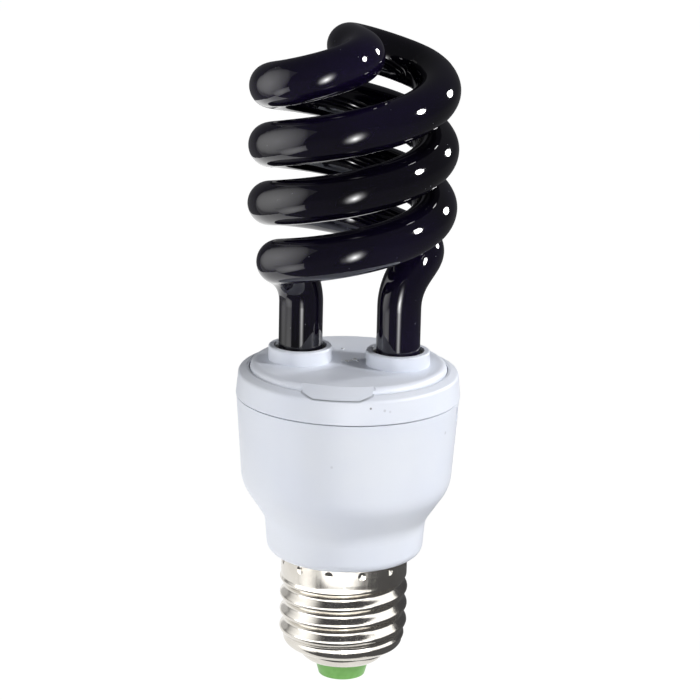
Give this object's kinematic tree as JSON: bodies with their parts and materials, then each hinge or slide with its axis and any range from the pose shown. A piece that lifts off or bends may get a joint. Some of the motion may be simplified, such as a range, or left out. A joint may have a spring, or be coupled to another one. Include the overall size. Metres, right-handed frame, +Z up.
{
  "type": "spiral black light bulb",
  "caption": "Spiral compact fluorescent black light bulb: near-black double-helix glass tube on a white ballast housing with a screw cap.",
  "frame": {"origin": "middle of the centre contact's face, on the lamp's axis", "axes": "+Z up the lamp's axis from the contact to the coil's bridge, +X through the glass legs, the cover's key notch faces -Y"},
  "size_m": [0.0454, 0.0454, 0.1356],
  "materials": {
    "black_glass": "polished, near black with a violet tint",
    "white_plastic": "satin moulded",
    "nickel_plate": "bright rolled",
    "green_insulator": "satin moulded",
    "tinned_contact": "tinned",
    "cement": "dull",
    "board_laminate": "bare laminate",
    "can_sleeve": "shrink sleeve",
    "ferrite": "sintered",
    "copper_wire": "enamelled",
    "dipped_film": "dipped",
    "moulded_black": "moulded",
    "lead_wire": "drawn",
    "wire_sleeve": "sleeved"
  },
  "bodies": {
    "root": {"discharge_tube": "black_glass", "tube_plate": "white_plastic", "cover_ring": "white_plastic", "ballast_housing": "white_plastic", "screw_shell": "nickel_plate", "cap_insulator": "green_insulator", "centre_contact": "tinned_contact", "tube_cement_left": "cement", "tube_cement_right": "cement", "circuit_board": "board_laminate", "electrolytic_capacitor": "can_sleeve", "choke_core": "ferrite", "choke_winding": "copper_wire", "toroid_transformer": "ferrite", "resonant_capacitor": "dipped_film", "transistor_one": "moulded_black", "transistor_two": "moulded_black", "rectifier_diodes": "moulded_black", "tube_leads": "lead_wire", "contact_wire": "wire_sleeve", "shell_wire": "wire_sleeve"}
  },
  "joints": []
}
